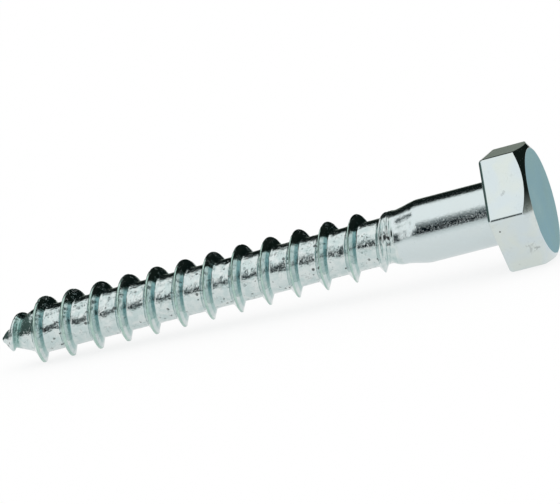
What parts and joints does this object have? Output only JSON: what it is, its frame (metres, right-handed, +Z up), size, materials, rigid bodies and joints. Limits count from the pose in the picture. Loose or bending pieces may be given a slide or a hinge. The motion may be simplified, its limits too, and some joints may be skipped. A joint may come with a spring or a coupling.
{
  "type": "lag screw",
  "caption": "Steel lag screw: hexagon head with a chamfered top, plain shank, tapered collar and a coarse wood thread that runs out to a gimlet point.",
  "frame": {"origin": "centre of the bearing face under the head, with the screw lying as it rests on a flat surface", "axes": "+X towards the head and +Z up, with a flat of the head facing down; the screw's own axis lies in the XZ plane and dips 2.87 degrees below -X towards the point"},
  "size_m": [0.0869, 0.0196, 0.0173],
  "materials": {
    "zinc_plate": "bright zinc plate with a faint blue tint, rolled marks and small pits"
  },
  "bodies": {
    "root": {"lag_screw": "zinc_plate"}
  },
  "joints": []
}
